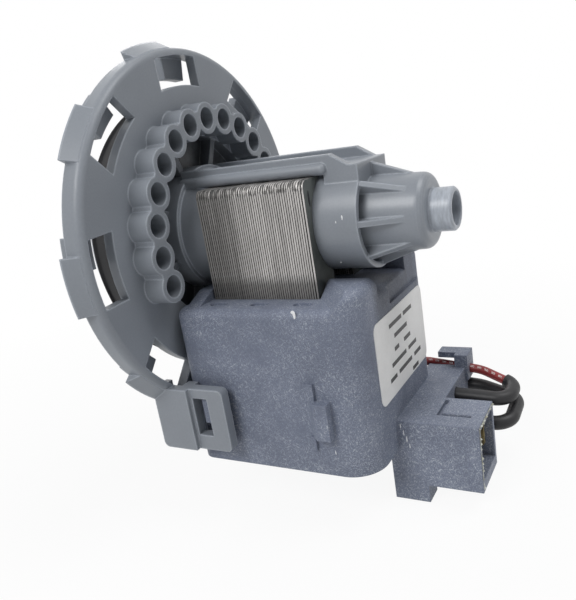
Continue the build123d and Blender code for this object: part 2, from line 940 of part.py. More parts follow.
def impeller():
    """Impeller with straight vanes and a hollow hub that the dog drives."""
    back_inner = impeller_back_x - impeller_plate
    hub_inner = hub_r - hub_wall
    shape = tube(back_inner, impeller_back_x, impeller_r, shaft_r + slip)
    shape += tube(impeller_front_x, back_inner, hub_r, hub_inner)
    stop = [
        (dog_end_x, stop_inner_r),
        (dog_end_x, hub_inner + hub_wall / 2),
        (back_inner, hub_inner + hub_wall / 2),
        (back_inner, stop_inner_r),
    ]
    shape += turn(sector(stop, stop_half_angle * 2), 180)
    vane = [
        (impeller_back_x - impeller_plate / 2, hub_r - hub_wall / 2),
        (impeller_front_x, hub_r - hub_wall / 2),
        (impeller_front_x, (hub_r + impeller_r) / 2),
        (impeller_tip_x, impeller_r),
        (impeller_back_x - impeller_plate / 2, impeller_r),
    ]
    step = 360 / blade_count
    for i in range(blade_count):
        shape += radial_plate(vane, blade_wall, step * i)
    return shape


def hub_cap():
    """Snap cap that closes the hub and carries the shaft tip."""
    inner = hub_r - hub_wall - fit
    x0 = impeller_front_x
    points = [
        (x0 - cap_nose, 0),
        (x0 - cap_nose, hub_r / 3),
        (x0 - cap_nose / 2, hub_r - hub_wall),
        (x0, hub_r),
        (x0, inner),
        (x0 + cap_lip / 2, inner),
        (x0 + cap_lip / 2, shaft_r + slip),
        (shaft_tip_x - gap, shaft_r + slip),
        (shaft_tip_x - gap, 0),
    ]
    return turned(points)


pieces = {
    "mounting_flange": mounting_flange,
    "seal_ring": seal_ring,
    "rotor_can": rotor_can,
    "stator_core": stator_core,
    "near_bobbin": lambda: bobbin(near),
    "far_bobbin": lambda: bobbin(far),
    "near_winding": lambda: winding(near),
    "far_winding": lambda: winding(far),
    "coil_housing": coil_housing,
    "base_cover": base_cover,
    "terminal_blades": terminal_blades,
    "blank_label": blank_label,
    "thermal_protector": thermal_protector,
    "red_lead": red_lead,
    "lead_sleeve": lead_sleeve,
    "black_lead": black_lead,
    "end_cover": end_cover,
    "cover_o_ring": cover_o_ring,
    "shaft_seal": shaft_seal,
    "front_bush": front_bush,
    "front_cushion": front_cushion,
    "rear_bush": rear_bush,
    "rear_cushion": rear_cushion,
    "shaft": shaft,
    "rotor_sleeve": rotor_sleeve,
    "magnet": magnet,
    "front_washer": front_washer,
    "rear_washer": rear_washer,
    "drive_dog": drive_dog,
    "impeller": impeller,
    "hub_cap": hub_cap,
}

os.makedirs("parts", exist_ok=True)
for name, make in pieces.items():
    export_step(make(), os.path.join("parts", name + ".step"))

for name, route, radii in (("red_lead", red_route, red_radii), ("black_lead", black_route, black_radii)):
    print(name, "bend radii", radii, "length", round(lead_wire(route, radii).length, 1))
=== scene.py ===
import json
import math
import random

import bmesh
import bpy
from mathutils import Matrix, Vector


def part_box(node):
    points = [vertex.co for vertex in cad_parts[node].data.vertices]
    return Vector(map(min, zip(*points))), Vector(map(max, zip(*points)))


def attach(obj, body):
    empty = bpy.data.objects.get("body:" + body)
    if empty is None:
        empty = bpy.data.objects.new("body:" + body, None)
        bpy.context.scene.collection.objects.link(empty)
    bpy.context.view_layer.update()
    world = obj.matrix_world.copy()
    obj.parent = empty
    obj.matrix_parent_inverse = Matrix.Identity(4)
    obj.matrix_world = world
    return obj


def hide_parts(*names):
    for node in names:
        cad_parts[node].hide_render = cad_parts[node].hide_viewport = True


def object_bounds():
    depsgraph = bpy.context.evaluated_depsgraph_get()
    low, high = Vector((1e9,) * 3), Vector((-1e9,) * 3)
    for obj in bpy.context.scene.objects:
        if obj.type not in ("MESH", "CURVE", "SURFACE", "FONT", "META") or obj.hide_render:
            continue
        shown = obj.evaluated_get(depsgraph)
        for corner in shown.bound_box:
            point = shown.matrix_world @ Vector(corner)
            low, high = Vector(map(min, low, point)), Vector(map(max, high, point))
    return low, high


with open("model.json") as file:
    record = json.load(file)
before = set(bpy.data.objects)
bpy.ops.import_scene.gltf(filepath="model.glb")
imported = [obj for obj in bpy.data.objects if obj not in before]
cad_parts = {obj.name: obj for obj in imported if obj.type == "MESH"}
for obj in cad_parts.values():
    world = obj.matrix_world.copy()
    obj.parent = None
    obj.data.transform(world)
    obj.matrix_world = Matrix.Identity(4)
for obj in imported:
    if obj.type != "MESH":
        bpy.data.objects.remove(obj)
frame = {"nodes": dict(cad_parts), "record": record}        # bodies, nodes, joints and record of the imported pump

bl_info = {
    "name": "Drain pump finish",
    "version": (1, 0, 0),
    "blender": (4, 5, 0),
    "location": "3D View > Sidebar > Drain pump",
    "description": "Dresses the packed drain pump with sheets, sticker, flash, marks and finishes",
    "category": "Object",
}

CAD_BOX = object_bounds()
MM = 0.001
CORE_LO, CORE_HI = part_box("stator_core")
STICKER_LO, STICKER_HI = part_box("blank_label")
CAN_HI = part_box("rotor_can")[1]
HOUSING_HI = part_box("coil_housing")[1]

# Spans over which fibres, burr marks, painted highlight and painted shade come in or fade out
BOSS_HIGHLIGHT_X = (CAN_HI.x - 4.4 * MM, CAN_HI.x - 3.4 * MM)
SCUFF_X = (24.0 * MM, 40.0 * MM)
SCUFF_Z = (-46.0 * MM, -32.0 * MM)
SADDLE_X = (28.0 * MM, 34.0 * MM)
SADDLE_NEAR_Y = (-11.5 * MM, -9.0 * MM)
SADDLE_FAR_Y = (12.5 * MM, 17.5 * MM)
SADDLE_Z = (-23.0 * MM, -16.0 * MM)
WELL_R = (19.2 * MM, 19.8 * MM)
WELL_X = (-3.2 * MM, 0.6 * MM)
STACK_FOOT_Z = (HOUSING_HI.z, HOUSING_HI.z + 2.0 * MM)
STACK_BURR_Z = (CORE_HI.z - 1.9 * MM, CORE_HI.z - 1.5 * MM)
STACK_PAINTED_LIGHT_Z = (CORE_HI.z - 11.0 * MM, CORE_HI.z - 1.0 * MM)

# Depth of the relief in each kind of surface
MOULDED_RELIEF = 0.008 * MM
SPARKED_RELIEF = 0.03 * MM
PLAIN_RELIEF = 0.02 * MM
STEEL_RELIEF = 0.01 * MM
DRAWN_RELIEF = 0.006 * MM
WIRE_RELIEF = 0.04 * MM
RUBBER_RELIEF = 0.01 * MM
RED_LEAD_RELIEF = 0.04 * MM
BLACK_LEAD_RELIEF = 0.03 * MM
FLASH_RELIEF = 0.05 * MM
PAPER_RELIEF = 0.2 * MM

# Streaks per metre along X, Y and Z
FIBRE_STREAKS = (900.0, 5300.0, 5300.0)
BOSS_STREAKS = (2400.0, 500.0, 500.0)
TORN_STREAKS = (2600.0, 300.0, 170.0)
BURR_STREAKS = (3000.0, 260.0, 380.0)
BLADE_STREAKS = (2600.0, 200.0, 400.0)
WIRE_STREAKS = (200.0, 200.0, 9000.0)
SHAFT_STREAKS = (9000.0, 400.0, 400.0)
FERRITE_STREAKS = (700.0, 700.0, 700.0)

# How the fibres of the dark moulding lie, how strong they show and how much of the skin has them
FIBRE_TURNS = (
    (0.2, 0.4, 0.1), (0.1, 1.05, 0.3), (0.3, 1.9, 0.2),
    (0.2, 2.6, 0.1), (0.4, 0.3, 1.2), (0.2, 0.8, 2.2))
FIBRE_STRENGTH = 0.95
FIBRE_COVER = 0.52

# Dashes on the red lead: count per metre, share that is printed, and the band of upward normals
DASH_COUNT = 620.0
DASH_SHARE = 0.55
DASH_BAND = (0.62, 0.9)

WHITE = (1.0, 1.0, 1.0, 1.0)


def length(name, about, value):
    """A length property in metres."""
    return bpy.props.FloatProperty(
        name=name, description=about, default=value, min=0.0, max=1.0,
        precision=5, subtype="DISTANCE", unit="LENGTH")


def share(name, about, value):
    """A property from 0 to 1."""
    return bpy.props.FloatProperty(
        name=name, description=about, default=value, min=0.0, max=1.0, subtype="FACTOR")


def whole(name, about, value, low=0):
    """A whole number property."""
    return bpy.props.IntProperty(name=name, description=about, default=value, min=low, max=200)


def power(name, about, watts):
    """A lamp's power property."""
    return bpy.props.FloatProperty(
        name=name, description=about, default=watts, min=0.0, max=20.0, subtype="POWER", unit="POWER")


def angle(name, about, degrees):
    """An angle property, given in degrees."""
    return bpy.props.FloatProperty(
        name=name, description=about, default=math.radians(degrees), subtype="ANGLE", unit="ROTATION")


def spot(name, about, place):
    """A place property, given in millimetres."""
    return bpy.props.FloatVectorProperty(
        name=name, description=about, default=[value * MM for value in place],
        size=3, precision=5, subtype="TRANSLATION", unit="LENGTH")


def colour(name, about, value):
    """A linear colour property."""
    return bpy.props.FloatVectorProperty(
        name=name, description=about, default=value, min=0.0, max=1.0, size=3, subtype="COLOR")


class PumpColours(bpy.types.PropertyGroup):
    light: colour("Light moulding", "Flange, latches, can, bridge and cup", (0.248, 0.27, 0.303))
    dark: colour("Dark moulding", "Housing, connector and base cover", (0.155, 0.177, 0.24))
    fibre: colour("Fibre", "Glass fibres at the skin of the dark moulding", (0.52, 0.56, 0.62))
    rubber: colour("Rubber", "Seals and cushions", (0.014, 0.014, 0.016))
    sheet_edge: colour("Sheet edge", "Cut edges of the stack's sheets", (0.63, 0.608, 0.59))
    sheet_face: colour("Sheet face", "Oxide-dark faces of the sheets", (0.058, 0.064, 0.061))
    sticker: colour("Sticker", "Bare paper of the sticker", (0.93, 0.93, 0.925))
    bars: colour("Bars", "Ink of the plain bars on the sticker", (0.06, 0.06, 0.06))
    red: colour("Red lead", "Insulation of the red lead", (0.3, 0.035, 0.035))
    dashes: colour("Dashes", "Short plain dashes along the red lead", (0.75, 0.68, 0.66))
    black: colour("Black lead", "Insulation of the black lead and its sleeve", (0.016, 0.016, 0.018))
    brass: colour("Brass", "Terminal blades", (0.62, 0.5, 0.24))
    copper: colour("Copper", "Enamelled winding wire", (0.6, 0.22, 0.1))
    nylon: colour("Natural nylon", "Bobbins", (0.72, 0.7, 0.62))
    shaft: colour("Shaft steel", "Ground shaft", (0.55, 0.55, 0.55))
    ferrite: colour("Ferrite", "Magnet", (0.06, 0.06, 0.065))
    bearing: colour("Bearing", "Bushes and washers", (0.14, 0.09, 0.06))
    black_plastic: colour("Black moulding", "Impeller, dog and sleeve", (0.03, 0.03, 0.033))
    protector: colour("Protector", "Case of the thermal protector", (0.55, 0.5, 0.4))
    flash: colour("Flash", "Pale torn flash at the connector's mouth", (0.72, 0.74, 0.7))
    yellowed: colour("Yellowed flash", "Aged patches of the torn flash", (0.4, 0.4, 0.3))
    chip: colour("Chip", "Bright nicks and chips where the skin is broken", (0.85, 0.86, 0.88))
    floor: colour("Floor", "Paint of the floor", (0.87, 0.87, 0.87))


class PumpSheets(bpy.types.PropertyGroup):
    count: whole("Sheets", "Sheets in the stack", 48, low=2)
    solid_share: share("Solid share", "Share of each sheet's pitch that is steel at the edge", 0.68)
    scatter: length("Scatter", "How far a sheet may sit from its neighbours", 0.04 * MM)
    # The darker edges of the sheets beside the flange are painted shade from the flange and bridge
    painted_shade_sheets: whole("Dull sheets", "Sheets beside the flange with stained edges", 16)
    painted_shade_tone: share("Dull tone", "Brightness of the stained edges", 0.46)
    clear_tone: share("Clear tone", "Brightness of the other edges", 0.92)
    uneven: share("Uneven tone", "How far one sheet's brightness may differ", 0.12)
    seed: whole("Seed", "Random draw of the sheets", 5)
    dimple_y: length("Dimple across", "Distance of the dimple from the middle plane", 10.4 * MM)
    dimple_z: length("Dimple height", "Height of the dimple's middle over the motor axis", 5.5 * MM)
    # The dimple is shown as a dark spot: painted shade of its hollow
    dimple_long: length("Dimple length", "Long side of the punched dimple", 3.0 * MM)
    dimple_wide: length("Dimple width", "Short side of the punched dimple", 0.6 * MM)
    dimple_thick: length("Dimple thickness", "Thickness of the dark spot that stands for it", 0.03 * MM)


class PumpSticker(bpy.types.PropertyGroup):
    bar_tall: length("Bar height", "Height of a plain bar", 0.85 * MM)
    first_drop: length("First bar", "Drop of the first bar below the sticker's top edge", 2.7 * MM)
    pitch: length("Bar pitch", "Drop from one bar to the next", 2.6 * MM)
    ink: length("Ink thickness", "How far a bar stands off the paper", 0.02 * MM)


class PumpMarks(bpy.types.PropertyGroup):
    flash_wide: length("Flash width", "Mean width of the torn flash", 0.3 * MM)
    flash_thick: length("Flash thickness", "Thickness of the torn flash", 0.12 * MM)
    chip_size: length("Chip size", "Usual length of a bright nick", 0.6 * MM)
    seed: whole("Seed", "Random draw of flash, nicks and chips", 11)


class PumpStage(bpy.types.PropertyGroup):
    place: spot("Place", "Where the camera stands", (86.79, -115.37, 20.64))
    turn: angle("Turn", "Camera azimuth", 31.31)
    rise: angle("Rise", "Camera elevation", 15.68)
    roll: angle("Roll", "Camera roll", -9.364)
    lens: bpy.props.FloatProperty(
        name="Lens", description="Focal length in mm", default=40.76,
        subtype="DISTANCE_CAMERA", unit="CAMERA")
    floor_drop: length("Floor drop", "Room between the part and the floor", 0.4 * MM)
    ambient: share("Ambient", "World light", 0.16)
    key: power("Key", "Power of the key light", 2.3)
    top: power("Top", "Power of the top light", 1.65)
    rim: power("Rim", "Power of the light from behind", 0.6)
    shadow: share("Shadow", "Share of the floor's own shading that the camera sees", 0.08)
    shadow_near: length("Shadow start", "Distance at which the seen shadow begins to fade", 70.0 * MM)
    shadow_far: length("Shadow end", "Distance at which it is gone", 200.0 * MM)


def picks(name):
    """The scene's settings group of that name."""
    return getattr(bpy.context.scene, "pump_" + name)


# Shader building blocks

def add(tree, kind, **values):
    """A node with its plain attributes set."""
    made = tree.nodes.new(kind)
    for key, value in values.items():
        setattr(made, key, value)
    return made


def feed(tree, node, socket, source):
    """Links a socket, or sets its plain value."""
    target = node.inputs[socket]
    if isinstance(source, bpy.types.NodeSocket):
        tree.links.new(source, target)
    else:
        target.default_value = source


def sums(tree, operation, first, second=0.0, third=0.0, clamp=False):
    """One math node's output."""
    made = add(tree, "ShaderNodeMath", operation=operation, use_clamp=clamp)
    for socket, source in enumerate((first, second, third)):
        feed(tree, made, socket, source)
    return made.outputs[0]


def product(tree, first, *others):
    """Several values multiplied."""
    for other in others:
        first = sums(tree, "MULTIPLY", first, other)
    return first


def weighed(tree, first, weight, second):
    """Two values added, the first by its weight and the second by the rest."""
    return sums(tree, "MULTIPLY_ADD", first, weight, product(tree, second, 1.0 - weight))


def ramp(tree, value, low, high, start=0.0, end=1.0):
    """value from low..high to start..end, clamped."""
    made = add(tree, "ShaderNodeMapRange", clamp=True)
    sources = {"Value": value, "From Min": low, "From Max": high, "To Min": start, "To Max": end}
    for socket, source in sources.items():
        feed(tree, made, socket, source)
    return made.outputs[0]


def axis(tree, vector, name):
    """One coordinate of a vector."""
    made = add(tree, "ShaderNodeSeparateXYZ")
    feed(tree, made, 0, vector)
    return made.outputs[name]


def noise(tree, vector, scale, detail=3.0, rough=0.6):
    """Cloudy noise with scale patches per metre."""
    made = add(tree, "ShaderNodeTexNoise")
    for socket, source in (("Vector", vector), ("Scale", scale), ("Detail", detail), ("Roughness", rough)):
        feed(tree, made, socket, source)
    return made.outputs["Fac"]


def streaks(tree, vector, scales, turn=None, detail=3.0, rough=0.6):
    """Noise drawn out along the axes with small scales, turned first where a turn is given."""
    if turn is not None:
        turned = add(tree, "ShaderNodeMapping")
        feed(tree, turned, "Vector", vector)
        feed(tree, turned, "Rotation", turn)
        vector = turned.outputs[0]
    drawn = add(tree, "ShaderNodeMapping")
    feed(tree, drawn, "Vector", vector)
    feed(tree, drawn, "Scale", scales)
    return noise(tree, drawn.outputs[0], 1.0, detail, rough)


def blend_colours(tree, share_of_second, first, second):
    """One colour from two."""
    made = add(tree, "ShaderNodeMix", data_type="RGBA")
    feed(tree, made, 0, share_of_second)
    for socket, source in ((6, first), (7, second)):
        if not isinstance(source, bpy.types.NodeSocket):
            source = (*source, 1.0)
        feed(tree, made, socket, source)
    return made.outputs[2]


def toned(base, gain, lift=0.0):
    """A colour made lighter or darker, by a factor and then a step."""
    return tuple(min(1.0, channel * gain + lift) for channel in base)


def new_group(name, inputs, outputs):
    """An empty shader group with float or vector sockets: its tree, its given values and its end node."""
    tree = bpy.data.node_groups.new(name, "ShaderNodeTree")
    for label, kind, value in inputs:
        socket = tree.interface.new_socket(name=label, in_out="INPUT", socket_type="NodeSocket" + kind)
        if value is not None:
            socket.default_value = value
    for label in outputs:
        tree.interface.new_socket(name=label, in_out="OUTPUT", socket_type="NodeSocketFloat")
    return tree, add(tree, "NodeGroupInput").outputs, add(tree, "NodeGroupOutput")


def grain_group():
    """Skin of a moulding: slow tone drift, fine spark grain and their height."""
    inputs = (("Vector", "Vector", None), ("Scale", "Float", 2600.0), ("Drift Scale", "Float", 60.0))
    tree, given, out = new_group("Moulded grain", inputs, ("Tone", "Height"))
    fine = noise(tree, given["Vector"], given["Scale"])
    drift = noise(tree, given["Vector"], given["Drift Scale"], rough=0.55)
    coarse = noise(tree, given["Vector"], product(tree, given["Scale"], 0.22), detail=2.0, rough=0.5)
    feed(tree, out, "Tone", ramp(tree, weighed(tree, drift, 0.6, fine), 0.3, 0.7))
    feed(tree, out, "Height", weighed(tree, fine, 0.7, coarse))
    return tree


def fibre_group():
    """Short glass fibres lying several ways in the skin, thicker in patches."""
    inputs = (("Vector", "Vector", None), ("Cover", "Float", 0.5))
    tree, given, out = new_group("Glass fibres", inputs, ("Mask",))
    most = 0.0
    for turn in FIBRE_TURNS:
        lines = streaks(tree, given["Vector"], FIBRE_STREAKS, turn, detail=1.0, rough=0.5)
        most = sums(tree, "MAXIMUM", most, ramp(tree, lines, 0.56, 0.75))
    patches = noise(tree, given["Vector"], 120.0, detail=4.0, rough=0.7)
    cover = ramp(tree, sums(tree, "ADD", patches, given["Cover"]), 0.85, 1.25, 0.15, 1.0)
    feed(tree, out, "Mask", product(tree, sums(tree, "POWER", most, 2.2), cover))
    return tree


def edge_group():
    """Where the rounded normal leaves the face's own normal: the part's edges, paled partly as wear and partly as
    a painted highlight.
    """
    inputs = (("Rounded", "Vector", None), ("Spread", "Float", 0.12))
    tree, given, out = new_group("Worn edge", inputs, ("Mask",))
    facts = add(tree, "ShaderNodeNewGeometry")
    dot = add(tree, "ShaderNodeVectorMath", operation="DOT_PRODUCT")
    feed(tree, dot, 0, given["Rounded"])
    feed(tree, dot, 1, facts.outputs["Normal"])
    away = sums(tree, "SUBTRACT", 1.0, dot.outputs["Value"])
    feed(tree, out, "Mask", ramp(tree, away, 0.01, given["Spread"]))
    return tree


def use_group(tree, group, **values):
    """The outputs of a group placed in a material."""
    made = add(tree, "ShaderNodeGroup", node_tree=group)
    for key, value in values.items():
        feed(tree, made, key, value)
    return made.outputs


GROUPS = {}
MATERIALS = {}


def new_material(name, rough, metal=0.0, specular=0.5):
    """A material with its tree, its shader and Object coordinates."""
    made = bpy.data.materials.new(name)
    made.use_nodes = True
    tree = made.node_tree
    skin = tree.nodes["Principled BSDF"]
    skin.inputs["Roughness"].default_value = rough
    skin.inputs["Metallic"].default_value = metal
    skin.inputs["Specular IOR Level"].default_value = specular
    place = add(tree, "ShaderNodeTexCoord").outputs["Object"]
    MATERIALS[name] = made
    return tree, skin, place


def finish_skin(tree, skin, height, depth, rounded=None):
    """Bump from a height, depth metres at most, over a rounded normal where one is given."""
    bump = add(tree, "ShaderNodeBump")
    feed(tree, bump, "Distance", depth)
    feed(tree, bump, "Height", height)
    if rounded is not None:
        feed(tree, bump, "Normal", rounded)
    feed(tree, skin, "Normal", bump.outputs[0])


# Fibres, painted highlight and painted shade: each gives the share of its own colour over the moulding's

def fibre_show(tree, place):
    """Fibres at the skin, with more of them low down at the rear of the housing."""
    low_down = ramp(tree, axis(tree, place, "Z"), *SCUFF_Z, 0.2, 0.0)
    far_back = ramp(tree, axis(tree, place, "X"), *SCUFF_X)
    cover = sums(tree, "MULTIPLY_ADD", low_down, far_back, FIBRE_COVER)
    return product(tree, use_group(tree, GROUPS["fibre"], Vector=place, Cover=cover)["Mask"], FIBRE_STRENGTH)


def painted_boss_highlight(tree, place):
    """Paler streaks on the rear boss: a painted highlight."""
    behind = ramp(tree, axis(tree, place, "X"), *BOSS_HIGHLIGHT_X)
    return product(tree, behind, ramp(tree, streaks(tree, place, BOSS_STREAKS), 0.3, 0.7, 0.2, 0.6))


def painted_saddle_shade(tree, place):
    """Painted shade on the housing where the can overhangs it."""
    near = ramp(tree, axis(tree, place, "Y"), *SADDLE_NEAR_Y)
    far = ramp(tree, axis(tree, place, "Y"), *SADDLE_FAR_Y, 1.0, 0.0)
    high = ramp(tree, axis(tree, place, "Z"), *SADDLE_Z)
    back = ramp(tree, axis(tree, place, "X"), *SADDLE_X)
    patches = ramp(tree, noise(tree, place, 240.0), 0.3, 0.65, 0.4, 0.66)
    return product(tree, near, far, high, back, patches)


def painted_well_shade(tree, place):
    """Painted shade that darkens the flange's well and fades out on its walls."""
    across = axis(tree, place, "Y")
    up = axis(tree, place, "Z")
    radius = sums(tree, "SQRT", sums(tree, "MULTIPLY_ADD", up, up, product(tree, across, across)))
    inside = ramp(tree, radius, *WELL_R, 1.0, 0.0)
    behind = ramp(tree, axis(tree, place, "X"), *WELL_X, 0.9, 0.25)
    patches = ramp(tree, noise(tree, place, 260.0), 0.3, 0.6, 0.75, 1.0)
    return product(tree, inside, behind, patches)


# Materials

def plastic(name, base, rough, grain=2600.0, relief=PLAIN_RELIEF, variety=0.12, edge=0.2, radius=0.4 * MM,
            specular=0.4, pale_gain=1.5, fibre=None, paler_patches=None, painted_shade=None):
    """A moulded plastic: drifting tone, fine grain and paler edges that are partly wear and partly painted
    highlight, with fibres, paler patches and painted shade where given.
    """
    tree, skin, place = new_material(name, rough, specular=specular)
    rounded = add(tree, "ShaderNodeBevel", samples=4)
    feed(tree, rounded, "Radius", radius)
    grained = use_group(tree, GROUPS["grain"], Vector=place, Scale=grain)
    low, high = toned(base, 1.0 - variety), toned(base, 1.0 + variety)
    skin_colour = blend_colours(tree, grained["Tone"], low, high)
    if fibre is not None:
        skin_colour = blend_colours(tree, fibre_show(tree, place), skin_colour, fibre)
    # Paler edges: partly wear, partly a painted highlight along them
    worn_and_highlit = use_group(tree, GROUPS["edge"], Rounded=rounded.outputs[0])["Mask"]
    pale = toned(base, pale_gain, 0.03)
    skin_colour = blend_colours(tree, product(tree, worn_and_highlit, edge), skin_colour, pale)
    # Paler patches where given; on the rear boss they are a painted highlight
    if paler_patches is not None:
        skin_colour = blend_colours(tree, paler_patches(tree, place), skin_colour, pale)
    # Painted shade where given: the darker film in the well and under the can
    if painted_shade is not None:
        skin_colour = blend_colours(tree, painted_shade(tree, place), skin_colour, toned(base, 0.1))
    feed(tree, skin, "Base Color", skin_colour)
    feed(tree, skin, "Roughness", ramp(tree, grained["Tone"], 0.0, 1.0, rough + 0.05, rough - 0.05))
    finish_skin(tree, skin, grained["Height"], relief, rounded.outputs[0])


def metal(name, base, rough, scales, relief=DRAWN_RELIEF, shine=1.0):
    """A metal with a drawn grain."""
    tree, skin, place = new_material(name, rough, shine)
    lines = streaks(tree, place, scales)
    feed(tree, skin, "Base Color", blend_colours(tree, ramp(tree, lines, 0.35, 0.65), toned(base, 0.8), base))
    feed(tree, skin, "Roughness", ramp(tree, lines, 0.3, 0.7, rough - 0.06, rough + 0.08))
    finish_skin(tree, skin, lines, relief)


def sheet_edge_material(base):
    """Cut edge of a sheet in the sheet's own tone: sheared lines, painted shade at the foot, and a top band of
    burr ticks darkened as painted shade and brightened as painted glints.
    """
    tree, skin, place = new_material("sheet_edge", 0.42, 0.35)
    tone = add(tree, "ShaderNodeAttribute", attribute_name="tone").outputs["Fac"]
    height = axis(tree, place, "Z")
    # Painted shade at the foot, where the stack stands on the housing
    foot = ramp(tree, height, *STACK_FOOT_Z, 0.36, 1.0)
    torn = streaks(tree, place, TORN_STREAKS)
    stain = ramp(tree, noise(tree, place, 160.0), 0.3, 0.7, 0.86, 1.06)
    # Top band: dark between the burr ticks as painted shade, bright on them as painted glints
    burr_glints_and_shade = ramp(tree, streaks(tree, place, BURR_STREAKS, detail=2.0), 0.44, 0.56, 0.12, 1.3)
    top_band_glints_and_shade = add(tree, "ShaderNodeMix", data_type="FLOAT")
    for socket, source in ((0, ramp(tree, height, *STACK_BURR_Z)), (2, 1.0), (3, burr_glints_and_shade)):
        feed(tree, top_band_glints_and_shade, socket, source)
    light = product(tree, tone, foot, ramp(tree, torn, 0.25, 0.7, 0.7, 1.1), stain)
    light = sums(tree, "MULTIPLY", light, top_band_glints_and_shade.outputs[0], clamp=True)
    feed(tree, skin, "Base Color", blend_colours(tree, light, toned(base, 0.12), base))
    feed(tree, skin, "Roughness", ramp(tree, torn, 0.3, 0.7, 0.36, 0.5))
    finish_skin(tree, skin, torn, STEEL_RELIEF)


def sheet_face_material(base):
    """Flat of a sheet: blued dark, with painted light making it paler towards the top."""
    tree, skin, place = new_material("sheet_face", 0.5, 0.3)
    blotches = noise(tree, place, 420.0, detail=4.0, rough=0.65)
    # Painted light: the flat grows paler towards the top
    height = ramp(tree, axis(tree, place, "Z"), *STACK_PAINTED_LIGHT_Z)
    paler = sums(tree, "MULTIPLY_ADD", height, 0.6, -0.35)
    tone = sums(tree, "MULTIPLY_ADD", blotches, 0.9, paler, clamp=True)
    feed(tree, skin, "Base Color", blend_colours(tree, tone, base, toned(base, 3.2)))
    feed(tree, skin, "Roughness", ramp(tree, blotches, 0.3, 0.7, 0.44, 0.58))
    finish_skin(tree, skin, blotches, STEEL_RELIEF)


def sticker_material(base):
    """Matt paper with faint fibres and soft waves."""
    tree, skin, place = new_material("sticker_paper", 0.55, specular=0.35)
    fibres = noise(tree, place, 1500.0, detail=4.0)
    wave = noise(tree, place, 110.0, detail=2.0, rough=0.5)
    tone = ramp(tree, weighed(tree, fibres, 0.3, wave), 0.35, 0.6)
    feed(tree, skin, "Base Color", blend_colours(tree, tone, toned(base, 0.9), base))
    feed(tree, skin, "Roughness", ramp(tree, fibres, 0.3, 0.7, 0.48, 0.62))
    finish_skin(tree, skin, wave, PAPER_RELIEF)


def red_lead_material(base, dashes):
    """Red insulation with short plain dashes along its upper side."""
    tree, skin, place = new_material("red_insulation", 0.38)
    upward = axis(tree, add(tree, "ShaderNodeNewGeometry").outputs["Normal"], "Z")
    beat = sums(tree, "FRACT", product(tree, axis(tree, place, "X"), DASH_COUNT))
    dash = sums(tree, "LESS_THAN", beat, DASH_SHARE)
    ragged = ramp(tree, noise(tree, place, 3800.0, detail=2.0), 0.4, 0.48)
    above = sums(tree, "GREATER_THAN", upward, DASH_BAND[0])
    beside = sums(tree, "LESS_THAN", upward, DASH_BAND[1])
    printed = product(tree, dash, ragged, above, beside, 0.75)
    paler_patches = noise(tree, place, 500.0)
    skin_colour = blend_colours(tree, ramp(tree, paler_patches, 0.35, 0.65), toned(base, 0.7), base)
    feed(tree, skin, "Base Color", blend_colours(tree, printed, skin_colour, dashes))
    finish_skin(tree, skin, paler_patches, RED_LEAD_RELIEF)


def flash_material(base, yellowed):
    """Torn flash: pale skin with yellowed patches."""
    tree, skin, place = new_material("torn_flash", 0.6)
    patch = ramp(tree, noise(tree, place, 700.0), 0.4, 0.6)
    feed(tree, skin, "Base Color", blend_colours(tree, patch, base, yellowed))
    feed(tree, skin, "Roughness", ramp(tree, patch, 0.0, 1.0, 0.55, 0.75))
    finish_skin(tree, skin, patch, FLASH_RELIEF)


FINISH_OF_SLOT = {
    "light_plastic": "light_moulding",
    "dark_plastic": "dark_moulding",
    "black_rubber": "black_rubber",
    "sheet_steel": "sheet_face",
    "copper": "wound_copper",
    "bobbin_plastic": "natural_nylon",
    "brass": "terminal_brass",
    "red_insulation": "red_insulation",
    "black_insulation": "black_insulation",
    "label_film": "sticker_paper",
    "bearing": "bearing_stock",
    "shaft_steel": "ground_steel",
    "ferrite": "magnet_ferrite",
    "rotor_plastic": "black_moulding",
    "impeller_plastic": "black_moulding",
    "protector_body": "protector_case",
}


def set_finish(owner, material):
    """Gives every material slot of an object one finish."""
    if not owner.material_slots:
        owner.data.materials.append(material)
    for held in owner.material_slots:
        held.material = material


# Mesh building blocks

def new_object(name, shape, materials, sharp=35.0):
    """A finished object from a bmesh, at the origin, smooth up to that many degrees."""
    mesh = bpy.data.meshes.new(name)
    shape.to_mesh(mesh)
    shape.free()
    mesh.polygons.foreach_set("use_smooth", [True] * len(mesh.polygons))
    mesh.set_sharp_from_angle(angle=math.radians(sharp))
    made = bpy.data.objects.new(name, mesh)
    bpy.context.scene.collection.objects.link(made)
    for material in materials:
        mesh.materials.append(MATERIALS[material])
    return made


def make_piece(name, shape, materials, node, sharp=35.0):
    """An object that rides on the body of a CAD node."""
    made = new_object(name, shape, materials, sharp)
    groups = frame["record"]["behaviour"]["bodies"]
    body = next(body for body, nodes in groups.items() if node in nodes)
    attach(made, body)
    return made


